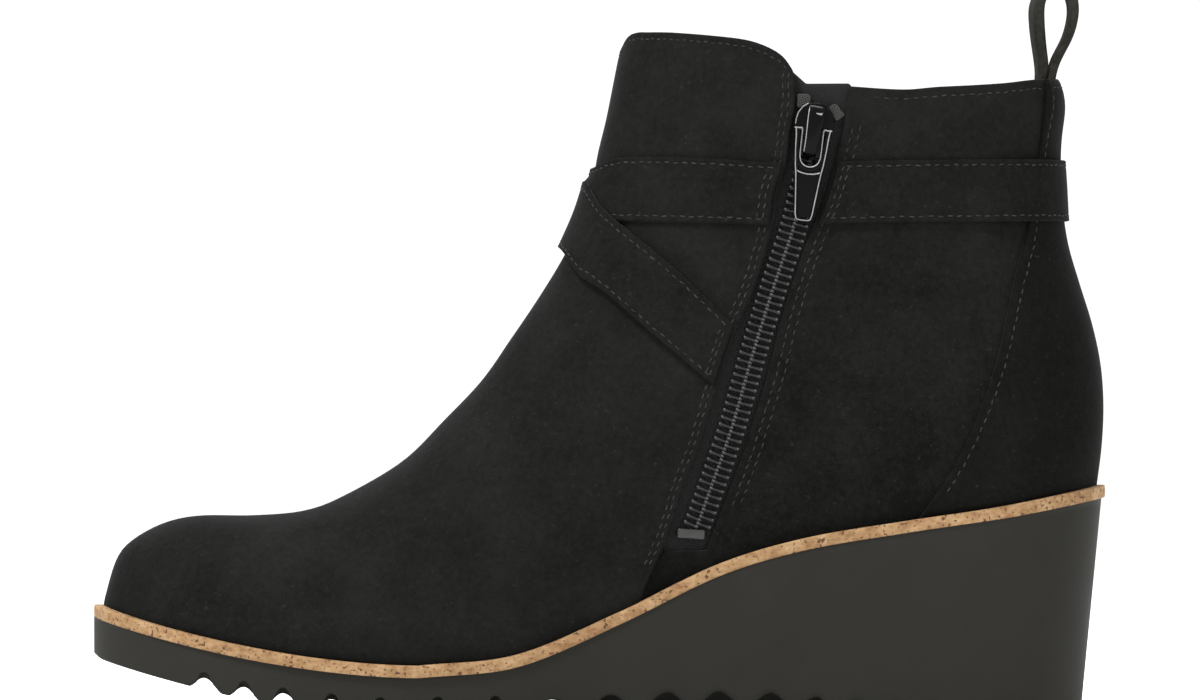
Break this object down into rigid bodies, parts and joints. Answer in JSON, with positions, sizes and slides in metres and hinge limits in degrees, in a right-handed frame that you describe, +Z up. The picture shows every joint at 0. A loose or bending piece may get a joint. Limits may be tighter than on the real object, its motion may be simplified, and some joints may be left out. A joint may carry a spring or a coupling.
{
  "type": "ankle boot",
  "caption": "Right wedge ankle boot in black suede with a side zip, crossed ankle straps, a heel pull loop, a cork-look rand and a ribbed rubber wedge sole.",
  "frame": {"origin": "on the floor, under the middle of the boot's box", "axes": "+X towards the heel, so the toe points along -X; -Y is the inner (medial) side with the zip; +Z up"},
  "size_m": [0.256, 0.088, 0.1866],
  "materials": {
    "suede": "black microsuede with a fine short nap, soft sheen and faint scuffs",
    "strap": "black suede strap with stitched edges",
    "loop": "black woven tape folded into a loop",
    "cork": "pressed cork with dark and reddish specks, matt",
    "rubber": "matt charcoal rubber",
    "lining": "dark grey textile",
    "tape": "black woven zip tape",
    "coil": "black nylon coil, slightly glossy",
    "hardware": "gloss black lacquered metal"
  },
  "bodies": {
    "boot": {"outsole": "rubber", "cork_rand": "cork", "insole": "lining", "upper": "suede", "heel_counter": "suede", "under_strap": "strap", "over_strap": "strap", "pull_loop": "loop", "zip_tape": "tape", "zip_coil": "coil", "zip_slider": "hardware", "zip_bottom_stop": "hardware", "tape_end_front": "tape", "tape_end_back": "tape"},
    "pull_tab": {"zip_pull_tab": "hardware"}
  },
  "joints": [
    {"name": "tab_swing", "type": "hinge", "parent": "boot", "child": "pull_tab", "pos_m": [0.05422, -0.03486, 0.14702], "axis": [-0.9843, 0.0285, 0.1743], "range_deg": [0, 150]}
  ]
}
